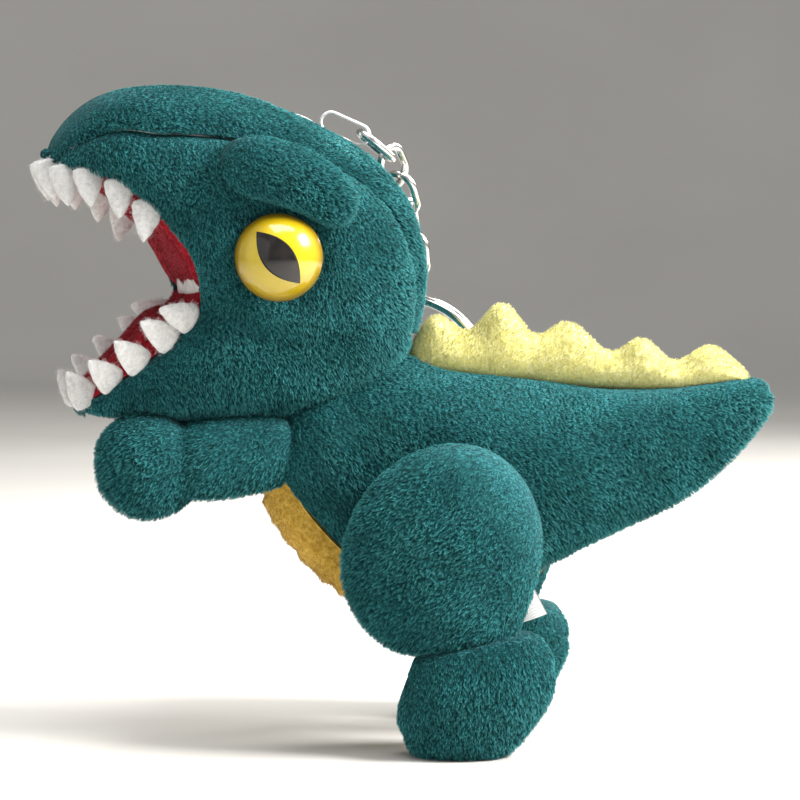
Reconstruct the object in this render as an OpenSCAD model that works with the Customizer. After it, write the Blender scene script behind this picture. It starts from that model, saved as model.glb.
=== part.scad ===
// Plush dinosaur keychain: sewn panels over stuffing, safety eyes, ribbon, chain and split ring.
// Millimetres. The toy looks along -X, its left side is -Y, and it stands on Z = 0.

/* [Cloth] */
// Thickness of the plush skins
skin = 1.2; // [1.0:0.1:1.4]
// Gap left along every seam between two panels, in degrees around the section
seam_deg = 0.5; // [0.3:0.1:1.0]

/* [Head] */
// Turn of the head towards the toy's left side
head_turn = 13; // [10:1:14]
// Half-angle of the mouth lining around a jaw section
lip_deg = 42; // [38:1:46]

/* [Eyes] */
// Diameter of the eye dome
eye_d = 14; // [12:0.5:14.5]
// Height of the eye dome
eye_h = 4.6; // [4:0.1:5.2]
// Diameter of the eye stem
stem_d = 3.2; // [2.8:0.1:3.6]
// Length of the eye stem behind the dome
stem_len = 10.5; // [8.5:0.5:11]
// Diameter of the locking washer
washer_d = 11; // [9:0.5:12]

/* [Teeth] */
// Height of a tooth
tooth_h = 6; // [5:0.2:6.4]
// Thickness of a tooth
tooth_t = 1.8; // [1.4:0.1:2.2]
// Outward lean of the teeth, in degrees
tooth_lean = 16; // [8:1:20]

/* [Back spikes] */
// Thickness of the padded spike strip
spike_t = 4; // [3:0.5:5]

/* [Legs and arms] */
// Distance from the middle plane to the inner face of each thigh
hip_y = 15.4; // [15.3:0.1:16]
// Thickness of a thigh
thigh_t = 12.5; // [11:0.5:14]
// Distance from the middle plane to the middle of each foot
foot_y = 20.8; // [20.6:0.2:22]
// How far the right leg stands behind the left one
stride = 5; // [0:0.5:5.5]
// Distance from the middle plane to the middle of each arm
arm_y = 16.6; // [16.4:0.2:18]

/* [Chain] */
// Wire diameter of the chain links
wire_d = 1.3; // [1.1:0.1:1.4]
// Outer length of a link
link_len = 8.8; // [8.6:0.1:9]
// Outer width of a link
link_w = 6.4; // [6.3:0.1:6.6]

/* [Split ring] */
// Outer diameter of the split ring
ring_d = 25; // [24:0.5:26]
// Wire diameter of the split ring
ring_wire = 1.3; // [1.1:0.1:1.3]

/* [Ribbon and label] */
// Width of the hanging ribbon
ribbon_w = 2; // [1.8:0.1:2.1]
// Thickness of the ribbon and of the label
ribbon_t = 0.5; // [0.3:0.1:0.6]

/* [Hidden] */
LINKS = 6;

teal = [0.10, 0.36, 0.38];
lemon = [0.95, 0.93, 0.55];
yellow = [0.85, 0.65, 0.20];
red = [0.62, 0.06, 0.10];
white = [0.95, 0.95, 0.93];
steel = [0.75, 0.76, 0.78];
fill_white = [0.92, 0.92, 0.90];

gap = 0.15;         // space between layers of one body
neck = [-12, 0];    // the head turns about this upright line
mesh_n = 32;        // roundness of small faceted shapes
fine_n = 48;        // roundness of turned shapes
fullness = 2.3;     // exponent of the sections: 2 is an ellipse
mouth_full = 3.6;   // the same on the mouth side of the head, which is squarer
tip_r = 0.3;        // smallest half-size of an inner section

// Sections of the head, fanned round the corner of the mouth from the snout tip to the chin.
// Each is [mouth x, mouth z, outside x, outside z, half-width].
head_plan = [
    [-58.8, 94.4, -59.1, 96.2, 3.5], [-57.2, 92.8, -57.8, 99.6, 7.5], [-53.4, 92.0, -54.2, 103.4, 11.5],
    [-49.3, 90.2, -49.0, 106.4, 14.5], [-45.3, 86.6, -42.5, 107.6, 17], [-41.8, 82.2, -34.5, 107.5, 19],
    [-39.6, 78.4, -25.7, 105.8, 20.5], [-38.8, 75.8, -16.0, 101.8, 21.6], [-38.4, 74.6, -6.6, 96.6, 22],
    [-38.2, 73.7, 0.2, 88.4, 22], [-38.3, 72.8, 2.8, 78.2, 21.6], [-38.9, 71.8, 1.4, 67.4, 20.6],
    [-40.2, 70.6, -4.4, 58.6, 19.4], [-42.2, 68.6, -16.0, 53.4, 18], [-45.2, 65.4, -28.0, 52.0, 16],
    [-48.4, 62.4, -37.2, 53.0, 14], [-51.0, 59.8, -44.6, 54.2, 11.5], [-53.0, 57.8, -50.0, 54.2, 8.5],
    [-54.4, 56.4, -53.6, 54.8, 3.5]
];
CORNER = 9;         // section at the corner of the mouth
NAPE = 11;          // last section of the top gusset

// Sections of the body and tail, from the neck to the tail tip: bottom x and z, top x and z, half-width.
body_plan = [
    [-24.0, 58.4, -6.0, 68.4, 11.5], [-22.5, 46.4, 1.8, 63.9, 13.8], [-20.0, 36.4, 8.0, 61.9, 14.9],
    [-9.5, 24.9, 14.0, 61.2, 15], [4.5, 19.6, 20.0, 60.2, 15], [17.0, 24.4, 27.0, 59.4, 13.6],
    [26.4, 29.4, 34.0, 58.7, 11.5], [37.4, 34.8, 43.0, 58.6, 9], [46.4, 39.3, 50.0, 59.2, 7],
    [54.0, 45.3, 56.0, 60.1, 5.2], [59.3, 51.2, 60.0, 60.0, 3.2], [61.4, 53.9, 61.4, 57.9, 1]
];
// Half-angle of the belly panel at each body section: it runs out under the tail.
belly_deg = [46, 46, 44, 42, 36, 20, 4, 0, 0, 0, 0, 0];

// Back spikes: ridge x and z of each peak and of each valley between.
spike_peaks = [[5.5, 69.6], [16.8, 71.9], [28.3, 68.8], [40.3, 65.8], [51.8, 64.8]];
spike_valleys = [[1.6, 64.9], [11.3, 67.2], [22.5, 66.2], [34.8, 63.9], [45.5, 61.4], [57.0, 60.6]];

// Sections of an arm past its domed shoulder: bottom x and z, top x and z, half-width.
shoulder = [-22.6, 47.4];
shoulder_r = 6.2;
arm_plan = [
    [-26.0, 40.4, -26.2, 53.0, 6.4], [-31.0, 39.6, -31.6, 52.2, 6.5], [-35.5, 38.4, -37.4, 52.4, 6.6],
    [-39.5, 37.4, -42.2, 52.2, 6.6], [-43.0, 38.0, -45.8, 50.4, 6.1], [-45.8, 40.0, -47.6, 47.6, 4.4],
    [-47.2, 42.4, -48.0, 45.2, 1.6]
];

// Thigh outline in the side view and the share of it reached at each depth, inner face first.
thigh_mid = [7, 33];
thigh_size = [17.4, 15.2];
thigh_tilt = 58;
thigh_steps = [[0, 0.86], [0.14, 0.97], [0.36, 1], [0.58, 0.96], [0.78, 0.83], [0.92, 0.6], [1, 0.22]];

// Foot levels from the ankle down to the sole: z, middle x, half-length, half-width.
foot_plan = [
    [18.4, 12.4, 8.0, 6.4], [15.2, 12.4, 10.4, 7.8], [11.0, 12.2, 11.7, 8.4],
    [7.0, 11.7, 11.3, 8.2], [3.6, 10.8, 9.9, 7.4], [1.3, 9.8, 8.0, 6.2], [0.3, 9.4, 6.7, 5.2],
    [0, 9.4, 6.0, 4.6]
];

// Heading and dive of each chain link, from the ribbon loop down to the ring.
chain_turns = [[50, 29], [65, 43], [68, 54], [73, 66], [72, 76], [60, 82]];
ring_heading = 70;  // the split ring hangs towards the far flank
ring_dive = 70;     // and leans on it this steeply
ring_roll = 8;
link_roll = -60;    // roll of the even links; the odd ones stand square to them
link_twist = -5;    // and each is turned this much further than the one before
LOOP = [-13.2, 102.9];  // sewn end of the ribbon loop
loop_dive = 24;     // slope of the loop down the back of the skull
loop_len = 9;
loop_high = 3.8;

// ---------- shaping functions ----------
function mix(a, b, t) = a + (b - a) * t;
function power(c, full) = sign(c) * pow(abs(c), 2 / full);

// A point on a smooth curve through the rows of p, a share t of the way from row i to the next.
function spline(p, i, t) =
    let (a = p[max(i - 1, 0)], b = p[i], c = p[i + 1], d = p[min(i + 2, len(p) - 1)])
    0.5 * (2 * b + (c - a) * t + (2 * a - 5 * b + 4 * c - d) * t * t + (3 * b - a - 3 * c + d) * t * t * t);
function refine(p, m) =
    concat([for (i = [0:len(p) - 2], k = [0:m - 1]) spline(p, i, k / m)], [p[len(p) - 1]]);

// The plan's rows with the fullness of their lower half added.
function filled(p, full) = [for (s = p) concat(s, [full])];

// The plan with its first and last sections pulled in along it by d.
function middle(s) = [s[0] + s[2], s[1] + s[3]] / 2;
function pull(s, toward, d) =
    let (v = middle(toward) - middle(s), u = v / norm(v) * d) s + [u[0], u[1], u[0], u[1], 0, 0];
function pulled(p, d) = let (n = len(p) - 1)
    [for (i = [0:n]) i == 0 ? pull(p[0], p[1], d) : i == n ? pull(p[n], p[n - 1], d) : p[i]];

// A point of a section, t degrees round it from the mouth or bottom end through the left side.
function on_section(s, grow, t) =
    let (p = [s[0], s[1]], q = [s[2], s[3]], c = (p + q) / 2, long = norm(q - p), d = (q - p) / long,
         full = cos(t) > 0 ? s[5] : fullness, u = -max(long / 2 + grow, tip_r) * power(cos(t), full),
         v = -max(s[4] + grow, tip_r) * power(sin(t), full))
    [c[0] + d[0] * u, v, c[1] + d[1] * u];
function full_rings(plan, grow, n) =
    [for (s = plan) [for (k = [0:n - 1]) on_section(s, grow, 360 * k / n)]];
// Rings that span only the angles from first[i] to last[i], in n steps.
function part_rings(plan, grow, first, last, n) = [for (i = [0:len(plan) - 1])
    [for (k = [0:n]) on_section(plan[i], grow, mix(first[i], last[i], k / n))]];

function sheet_faces(n, m, start, closed, flip) =
    [for (i = [0:n - 2], j = [0:m - (closed ? 1 : 2)])
        let (a = start + i * m + j, b = start + i * m + (j + 1) % m, c = b + m, d = a + m)
        each flip ? [[a, c, b], [a, d, c]] : [[a, b, c], [a, c, d]]];
function strip_faces(near, far) =
    [for (k = [0:len(near) - 2]) each [[near[k], far[k], far[k + 1]], [near[k], far[k + 1], near[k + 1]]]];
function count(from, step, n) = [for (k = [0:n - 1]) from + k * step];
function backwards(v) = [for (k = [len(v) - 1:-1:0]) v[k]];

// ---------- shaping modules ----------
// Joins free-form surfaces into one closed mesh.
module joined() { resize([0, 0, 0]) children(); }

// A solid skinned over closed rings.
module loft(rings) {
    n = len(rings);
    m = len(rings[0]);
    polyhedron([for (r = rings) each r],
        concat(sheet_faces(n, m, 0, true, false), [backwards(count(0, 1, m))], [count((n - 1) * m, 1, m)]));
}

// A cloth panel between an outer and an inner sheet of points.
module panel(outer, inner) {
    n = len(outer);
    m = len(outer[0]);
    k = n * m;
    far = (n - 1) * m;
    polyhedron(concat([for (r = outer) each r], [for (r = inner) each r]), concat(
        sheet_faces(n, m, 0, false, false), sheet_faces(n, m, k, false, true),
        strip_faces(count(0, 1, m), count(k, 1, m)),
        strip_faces(backwards(count(far, 1, m)), backwards(count(k + far, 1, m))),
        strip_faces(backwards(count(0, m, n)), backwards(count(k, m, n))),
        strip_faces(count(m - 1, m, n), count(k + m - 1, m, n))));
}

// A stitched cup: an outer and an inner skin, open at the first ring and closed at the last.
module cup(outer, inner) {
    n = len(outer);
    m = len(outer[0]);
    k = n * m;
    far = (n - 1) * m;
    rim = concat(count(0, 1, m), [0]);
    inner_rim = concat(count(k, 1, m), [k]);
    polyhedron(concat([for (r = outer) each r], [for (r = inner) each r]),
        concat(sheet_faces(n, m, 0, true, false), sheet_faces(n, m, k, true, true),
            strip_faces(rim, inner_rim), [count(far, 1, m)], [backwards(count(k + far, 1, m))]));
}

module at_head() { translate(neck) rotate(head_turn) translate(-neck) children(); }
module both_sides(left) { if (left) children(); else mirror([0, 1, 0]) children(); }

// ---------- head ----------
head_fine = filled(refine(head_plan, 2), mouth_full);
head_in = pulled(head_fine, skin);
last_head = len(head_fine) - 1;
HEAD_SIDES = 28;
PANEL_STEPS = 10;
// Half-angle of the top gusset at each fine section: wide on the snout, gone past the nape.
function gusset_deg(i) =
    let (nape = 2 * NAPE) i > nape ? 0 : i < 8 ? 76 : mix(76, 22, (i - 8) / (nape - 8));
function lip_at(i) = min(lip_deg, 20 + 14 * min(i, last_head - i));

module head_solid(grow) { loft(full_rings(grow < 0 ? head_in : head_fine, grow, HEAD_SIDES)); }

function rows(list, from, to) = [for (i = [from:to]) list[i]];

// A head panel from fine section from to fine section to, between the angles first and last.
module head_part(from, to, first, last) {
    starts = rows(first, from, to);
    ends = rows(last, from, to);
    panel(part_rings(rows(head_fine, from, to), 0, starts, ends, PANEL_STEPS),
        part_rings(rows(head_in, from, to), -skin, starts, ends, PANEL_STEPS));
}
module head_side(left) {
    near = [for (i = [0:last_head]) lip_at(i) + seam_deg];
    far = [for (i = [0:last_head]) 180 - gusset_deg(i) - seam_deg];
    color(teal) at_head() both_sides(left) joined() difference() {
        head_part(0, last_head, near, far);
        eye_hole();
    }
}
module head_side_left() { head_side(true); }
module head_side_right() { head_side(false); }
module head_top_gusset() {
    first = [for (i = [0:last_head]) 180 - gusset_deg(i)];
    last = [for (i = [0:last_head]) 180 + gusset_deg(i)];
    color(teal) at_head() head_part(0, 2 * NAPE, first, last);
}
module lining(from, to) {
    first = [for (i = [0:last_head]) -lip_at(i)];
    last = [for (i = [0:last_head]) lip_at(i)];
    color(red) at_head() head_part(from, to, first, last);
}
module mouth_lining_upper() { lining(1, 2 * CORNER); }
module mouth_lining_lower() { lining(2 * CORNER, last_head - 1); }
module head_stuffing() {
    color(fill_white) at_head() joined() difference() {
        head_solid(-skin - 3 * gap);
        for (left = [true, false]) both_sides(left) eye_hole();
        for (left = [true, false]) both_sides(left) washer_room();
    }
}

// A felt tooth: a flat petal with a rounded tip, its foot at the origin, pointing along +X.
module tooth() {
    tip = 1.5;
    foot = 1.6;
    hull() {
        for (y = [-foot, foot]) translate([0.6, y, 0]) sphere(d = tooth_t, $fn = 8);
        translate([tooth_h - tip, 0, 0]) scale([1, 1, 0.62]) sphere(r = tip, $fn = 10);
    }
}
// Places a tooth on the lip of fine section i, t degrees round it, leaning outwards.
module on_lip(i, t) {
    s = head_fine[i];
    lean = t > 0 ? -tooth_lean : tooth_lean;
    into_mouth = atan2(s[1] - s[3], s[0] - s[2]);
    translate(on_section(s, tooth_t / 2, t)) rotate([0, -into_mouth, 0]) rotate([90, 0, lean]) children();
}
module tooth_row(places) {
    color(white) at_head() joined() difference() {
        union() for (i = places, side = [-1, 1]) on_lip(i, side * (lip_at(i) + 4)) tooth();
        head_solid(gap);
    }
}
module upper_teeth() { tooth_row([0, 2, 4, 6, 8]); }
module lower_teeth() { tooth_row([34, 31, 29, 26, 24]); }

// Brow flap: a padded oval laid against the side of the skull above the eye.
brow_mid = [-22.6, -17.6, 94];
brow_half = [10.4, 5, 5];
module brow(left) {
    color(teal) at_head() both_sides(left) joined() difference() {
        translate(brow_mid) rotate([28, 24, -4]) scale(brow_half) sphere(r = 1, $fn = mesh_n);
        head_solid(gap);
    }
}
module brow_left() { brow(true); }
module brow_right() { brow(false); }

// ---------- eyes ----------
eye_pos = [-24.7, -23.5, 79.8];
eye_yaw = 12;       // the eyes look a little forward
eye_r = (eye_d * eye_d / 4 + eye_h * eye_h) / (2 * eye_h);
rib_h = 0.25;
rib_step = 1.2;
washer_t = 1.2;
washer_in = 5.5;    // from the back of the dome to the washer

// Puts +Z of its children along the left eye's outward axis.
module at_eye() { translate(eye_pos) rotate(-eye_yaw) rotate([90, 0, 0]) children(); }
module eye_hole() {
    at_eye() translate([0, 0, -stem_len - 1])
        cylinder(d = stem_d + 2 * rib_h + 0.2, h = stem_len + 2, $fn = mesh_n);
}
module washer_room() {
    at_eye() translate([0, 0, -washer_in - washer_t - gap])
        cylinder(d = washer_d + 2 * gap, h = washer_t + 2 * gap, $fn = mesh_n);
}
module eye_shape() {
    steps = 14;
    top = asin(eye_d / 2 / eye_r);
    dome = [for (k = [0:steps]) let (a = top * (1 - k / steps))
        [eye_r * sin(a), eye_r * cos(a) - eye_r + eye_h]];
    rim = 0.6;
    rotate_extrude($fn = fine_n)
        polygon(concat([[0, -stem_len], [stem_d / 2 - 0.5, -stem_len], [stem_d / 2, -stem_len + 1],
            [stem_d / 2, -rim], [eye_d / 2 - rim, -rim]], dome));
    for (z = [-stem_len + 2:rib_step:-washer_in - washer_t - 0.4])
        translate([0, 0, z]) cylinder(d = stem_d + 2 * rib_h, h = 0.4, $fn = fine_n);
}
module pupil_shape() {
    wide = 2.5;
    tall = 5.3;
    lens_r = (wide * wide + tall * tall) / (2 * wide);
    rotate(40) intersection() {
        translate([0, 0, eye_h - eye_r]) difference() {
            sphere(r = eye_r + 0.22, $fn = fine_n);
            sphere(r = eye_r + 0.02, $fn = fine_n);
        }
        linear_extrude(eye_h + 2) intersection() {
            translate([lens_r - wide, 0]) circle(lens_r, $fn = fine_n);
            translate([wide - lens_r, 0]) circle(lens_r, $fn = fine_n);
        }
    }
}
module washer_shape() {
    translate([0, 0, -washer_in - washer_t]) difference() {
        cylinder(d = washer_d, h = washer_t, $fn = fine_n);
        translate([0, 0, -1]) cylinder(d = stem_d + 0.1, h = washer_t + 2, $fn = fine_n);
    }
}
module eye_left() { color("gold") at_head() at_eye() eye_shape(); }
module eye_right() { color("gold") at_head() both_sides(false) at_eye() eye_shape(); }
module pupil_left() { color("black") at_head() at_eye() pupil_shape(); }
module pupil_right() { color("black") at_head() both_sides(false) at_eye() pupil_shape(); }
module eye_washer_left() { color("ivory") at_head() at_eye() washer_shape(); }
module eye_washer_right() { color("ivory") at_head() both_sides(false) at_eye() washer_shape(); }

// ---------- body ----------
body_fine = filled(refine(body_plan, 2), fullness);
body_in = pulled(body_fine, skin);
last_body = len(body_fine) - 1;
BELLY_END = 12;     // last fine section of the belly panel
BODY_SIDES = 28;
function belly_at(i) = refine([for (b = belly_deg) [b]], 2)[i][0];
belly_fine = [for (i = [0:last_body]) i > BELLY_END ? 0 : max(belly_at(i), 0)];

// A body panel from the neck to fine section to, between the angles first and last.
module body_part(to, first, last) {
    joined() difference() {
        panel(part_rings(rows(body_fine, 0, to), 0, first, last, PANEL_STEPS),
            part_rings(rows(body_in, 0, to), -skin, first, last, PANEL_STEPS));
        at_head() head_solid(gap);
    }
}
module body_side_left() {
    starts = [for (b = belly_fine) b + seam_deg];
    color(teal) body_part(last_body, starts, [for (b = belly_fine) 180 - seam_deg]);
}
module body_side_right() {
    ends = [for (b = belly_fine) 360 - b - seam_deg];
    color(teal) body_part(last_body, [for (b = belly_fine) 180 + seam_deg], ends);
}
module belly_panel() { color(yellow) body_part(BELLY_END, [for (b = belly_fine) -b], belly_fine); }
module body_stuffing() {
    color(fill_white) joined() difference() {
        loft(full_rings(body_in, -skin - 2 * gap, BODY_SIDES));
        at_head() head_solid(gap);
    }
}

// Padded strip of five soft spikes standing on the back seam.
module back_spikes() {
    lift = 0.25;
    first = spike_valleys[0];
    ridge = [for (i = [0:last_body - 3]) let (s = body_fine[i]) if (s[2] > first[0]) [s[2], s[3] + lift]];
    peaks = [for (k = [0:4]) each [spike_peaks[k], spike_valleys[k + 1]]];
    round_r = 0.9;
    color(lemon) joined() difference() {
        translate([0, spike_t / 2, 0]) rotate([90, 0, 0]) linear_extrude(spike_t)
            offset(r = round_r, $fn = 16) offset(delta = -round_r)
                polygon(concat([first], peaks, backwards(ridge)));
        at_head() head_solid(gap);
        loft(full_rings(body_fine, lift / 2, BODY_SIDES));
    }
}

// Blank label sewn to the seam under the tail, with its hem along the seam.
label_y = -5;
label_edge = [[15.4, 23.2], [21.6, 26.3]];  // its sewn edge in the side view
module care_label() {
    color(white) translate([0, label_y, 0]) rotate([90, 0, 0]) linear_extrude(ribbon_t)
        polygon(concat(label_edge, [[24.4, 20.9], [17.6, 18.4]]));
}

// ---------- legs ----------
LIMB_SIDES = 28;
function thigh_ring(depth, share, grow) =
    let (long = max(thigh_size[0] * share + grow, tip_r), wide = max(thigh_size[1] * share + grow, tip_r))
    [for (k = [0:LIMB_SIDES - 1]) let (a = -360 * k / LIMB_SIDES, u = long * cos(a), v = wide * sin(a))
        [thigh_mid[0] + u * cos(thigh_tilt) - v * sin(thigh_tilt), -hip_y - depth,
         thigh_mid[1] + u * sin(thigh_tilt) + v * cos(thigh_tilt)]];
function thigh_rings(grow, start, stop) =
    [for (s = thigh_steps) thigh_ring(mix(start, thigh_t + stop, s[0]), s[1], grow)];

// Everything below the ankle seam, left side.
module below_ankle() { translate([-50, -60, -10]) cube([100, 60, foot_plan[0][0] + 10 + gap]); }
module thigh() {
    color(teal) joined() difference() {
        cup(thigh_rings(0, 0, 0), thigh_rings(-skin, 0, -skin));
        below_ankle();
    }
}
module thigh_stuffing() {
    color(fill_white) joined() difference() {
        loft(thigh_rings(-skin - gap, 0.3, -skin - gap));
        below_ankle();
    }
}
// Rings of a foot from the ankle seam down to a sole at height sole.
function foot_rings(grow, sole) =
    [for (f = foot_plan) let (z = mix(sole, foot_plan[0][0], f[0] / foot_plan[0][0]))
        [for (k = [0:LIMB_SIDES - 1]) let (a = 360 * k / LIMB_SIDES)
            [f[1] + (f[2] + grow) * cos(a), -foot_y + (f[3] + grow) * sin(a), z]]];
module foot() { color(teal) cup(foot_rings(0, 0), foot_rings(-skin, skin)); }
module foot_stuffing() { color(fill_white) loft(foot_rings(-skin - gap, skin + gap)); }
// The right leg is the left one mirrored and set back by the stride.
module far_leg() { translate([stride, 0, 0]) mirror([0, 1, 0]) children(); }
module thigh_left() { thigh(); }
module thigh_right() { far_leg() thigh(); }
module thigh_stuffing_left() { thigh_stuffing(); }
module thigh_stuffing_right() { far_leg() thigh_stuffing(); }
module foot_left() { foot(); }
module foot_right() { far_leg() foot(); }
module foot_stuffing_left() { foot_stuffing(); }
module foot_stuffing_right() { far_leg() foot_stuffing(); }

// ---------- arms ----------
arm_dome = [for (a = [6, 26, 46, 66, 86]) let (x = shoulder[0] + shoulder_r * cos(a), r = shoulder_r * sin(a))
    [x, shoulder[1] - r, x, shoulder[1] + r, r]];
arm_fine = filled(backwards(concat(arm_dome, arm_plan)), fullness);
arm_in = pulled(arm_fine, skin);
ARM_STEPS = 8;
module arm_half(first, last) {
    from = [for (s = arm_fine) first];
    to = [for (s = arm_fine) last];
    translate([0, -arm_y, 0])
        panel(part_rings(arm_fine, 0, from, to, ARM_STEPS), part_rings(arm_in, -skin, from, to, ARM_STEPS));
}
module arm_outer() { color(teal) arm_half(seam_deg, 180 - seam_deg); }
module arm_inner() { color(teal) arm_half(180 + seam_deg, 360 - seam_deg); }
module arm_stuffing() {
    color(fill_white) translate([0, -arm_y, 0])
        loft(full_rings(pulled(arm_fine, skin + gap), -skin - 2 * gap, 2 * ARM_STEPS));
}
module arm_outer_left() { arm_outer(); }
module arm_outer_right() { mirror([0, 1, 0]) arm_outer(); }
module arm_inner_left() { arm_inner(); }
module arm_inner_right() { mirror([0, 1, 0]) arm_inner(); }
module arm_stuffing_left() { arm_stuffing(); }
module arm_stuffing_right() { mirror([0, 1, 0]) arm_stuffing(); }

// ---------- ribbon, chain and ring ----------
wire_gap = 0.25;
ring_gap = 0.85;
turn_share = 0.4;   // half the distance between the ring's two turns, as a share of its wire
chain_start = [LOOP[0] + (loop_len - ribbon_t / 2) * cos(loop_dive), 0,
    LOOP[1] - (loop_len - ribbon_t / 2) * sin(loop_dive)];
reach = link_len - wire_d;                  // between the middles of a link's two end wires
pitch = reach - wire_d - wire_gap;
function heading(h) = [cos(h[0]) * cos(h[1]), sin(h[0]) * cos(h[1]), -sin(h[1])];
function hang(k) = k == 0 ? chain_start : hang(k - 1) + pitch * heading(chain_turns[k - 1]);

tab_len = 3.9;
tab_rise = 0.25;
tab_space = 0.7;
module ribbon_tab() {
    color(white) translate([LOOP[0] - tab_len - tab_space, -ribbon_w / 2, LOOP[1] + tab_rise])
        rotate([0, loop_dive, 0]) cube([tab_len, ribbon_w, ribbon_t]);
}
module hanging_loop() {
    r = loop_high / 2;
    color(white) translate([LOOP[0], 0, LOOP[1]]) rotate([0, loop_dive, 0])
        translate([0, ribbon_w / 2, 0]) rotate([90, 0, 0]) linear_extrude(ribbon_w) difference() {
            hull() for (x = [r, loop_len - r]) translate([x, 0]) circle(r, $fn = mesh_n);
            hull() for (x = [r, loop_len - r]) translate([x, 0]) circle(r - ribbon_t, $fn = mesh_n);
        }
}
// An oval link lying along +X about its middle.
module link_shape() {
    bend = (link_w - wire_d) / 2;
    straight = link_len - link_w;
    for (side = [-1, 1]) {
        translate([side * straight / 2, 0, 0]) rotate(-side * 90) half_bend(bend);
        translate([-straight / 2, side * bend, 0]) rotate([0, 90, 0])
            cylinder(d = wire_d, h = straight, $fn = mesh_n);
    }
}
module half_bend(bend) {
    rotate_extrude(angle = 180, $fn = fine_n) translate([bend, 0]) circle(d = wire_d, $fn = mesh_n);
}
module chain_link(k) {
    turn = chain_turns[k - 1];
    color(steel) translate(hang(k - 1)) rotate([0, 0, turn[0]]) rotate([0, turn[1], 0])
        rotate([link_roll + link_twist * k + (k % 2) * 90, 0, 0])
            translate([reach / 2 - wire_d - wire_gap, 0, 0]) link_shape();
}
module chain_link_1() { chain_link(1); }
module chain_link_2() { chain_link(2); }
module chain_link_3() { chain_link(3); }
module chain_link_4() { chain_link(4); }
module chain_link_5() { chain_link(5); }
module chain_link_6() { chain_link(6); }

// Split ring of two close turns, hanging in the last link.
module split_ring() {
    turn_r = (ring_d - ring_wire) / 2;
    drop = turn_r - ring_wire / 2 - wire_d / 2 - ring_gap;
    color(steel) translate(hang(LINKS)) rotate([0, 0, ring_heading]) rotate([0, ring_dive, 0])
        rotate([ring_roll, 0, 0]) translate([drop, 0, 0])
            rotate_extrude($fn = fine_n) for (z = [-1, 1])
                translate([turn_r, z * ring_wire * turn_share]) circle(d = ring_wire, $fn = mesh_n);
}

head_side_left();
head_side_right();
head_top_gusset();
mouth_lining_upper();
mouth_lining_lower();
upper_teeth();
lower_teeth();
brow_left();
brow_right();
eye_left();
eye_right();
pupil_left();
pupil_right();
eye_washer_left();
eye_washer_right();
head_stuffing();
body_side_left();
body_side_right();
belly_panel();
body_stuffing();
back_spikes();
care_label();
thigh_left();
thigh_right();
foot_left();
foot_right();
thigh_stuffing_left();
thigh_stuffing_right();
foot_stuffing_left();
foot_stuffing_right();
arm_outer_left();
arm_outer_right();
arm_inner_left();
arm_inner_right();
arm_stuffing_left();
arm_stuffing_right();
ribbon_tab();
hanging_loop();
chain_link_1();
chain_link_2();
chain_link_3();
chain_link_4();
chain_link_5();
chain_link_6();
split_ring();
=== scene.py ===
import math

import bpy
import numpy as np
import openvdb
from mathutils import Matrix, Vector


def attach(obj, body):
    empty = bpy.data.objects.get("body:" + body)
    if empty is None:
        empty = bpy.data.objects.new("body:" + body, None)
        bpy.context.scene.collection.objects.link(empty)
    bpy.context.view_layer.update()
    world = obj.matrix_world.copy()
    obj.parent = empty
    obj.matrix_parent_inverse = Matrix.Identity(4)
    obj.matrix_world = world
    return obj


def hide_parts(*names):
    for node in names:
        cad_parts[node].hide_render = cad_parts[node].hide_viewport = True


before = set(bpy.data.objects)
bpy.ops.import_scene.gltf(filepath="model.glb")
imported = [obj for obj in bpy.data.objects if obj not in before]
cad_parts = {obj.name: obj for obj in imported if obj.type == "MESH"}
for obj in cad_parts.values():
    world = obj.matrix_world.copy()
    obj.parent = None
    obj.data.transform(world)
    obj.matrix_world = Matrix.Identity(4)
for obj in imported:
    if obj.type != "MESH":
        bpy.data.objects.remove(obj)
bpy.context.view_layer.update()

# Shapes are worked out in millimetres and stored in metres.
MM = 0.001
SIDES = {"left": 1, "right": -1}  # the left side is -Y

# ---------------------------------------------------------------- camera and light
def put(obj):
    bpy.context.scene.collection.objects.link(obj)


CAMERA_AT = Vector((0.0, -0.483, 0.0816))
CAMERA_DIP = math.radians(3.04)
cam = bpy.data.objects.new("camera", bpy.data.cameras.new("camera"))
put(cam)
cam.data.lens = 130.5
cam.data.sensor_width = 36
cam.data.clip_start = 0.01
cam.data.clip_end = 20
cam.location = CAMERA_AT
cam.rotation_euler = (math.pi / 2 - CAMERA_DIP, 0, 0)
bpy.context.scene.camera = cam
bpy.context.scene.view_settings.view_transform = "Standard"


def area_light(name, at, aim, size, power, colour):
    data = bpy.data.lights.new(name, "AREA")
    data.size = size
    data.energy = power
    data.color = colour
    obj = bpy.data.objects.new(name, data)
    obj.location = at
    obj.rotation_euler = (Vector(aim) - Vector(at)).to_track_quat("-Z", "Y").to_euler()
    put(obj)


TOY_MIDDLE = (0, 0, 0.06)
area_light("key", (0.50, -0.14, 0.44), TOY_MIDDLE, 0.20, 11.0, (1, 0.98, 0.95))
area_light("fill", (-0.55, -0.40, 0.20), TOY_MIDDLE, 0.8, 0.9, (0.95, 0.98, 1))
area_light("back", (0.32, 0.45, 0.42), TOY_MIDDLE, 0.35, 6.0, (1, 0.97, 0.92))
area_light("top", (0.02, -0.05, 0.6), TOY_MIDDLE, 0.4, 3.4, (1, 0.99, 0.97))

world = bpy.data.worlds.new("studio")
bpy.context.scene.world = world
world.use_nodes = True
world.node_tree.nodes["Background"].inputs["Color"].default_value = (0.93, 0.92, 0.90, 1)
world.node_tree.nodes["Background"].inputs["Strength"].default_value = 0.42


# ---------------------------------------------------------------- materials
def new_material(name):
    mat = bpy.data.materials.new(name)
    mat.use_nodes = True
    return mat, mat.node_tree, mat.node_tree.nodes["Principled BSDF"]


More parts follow.
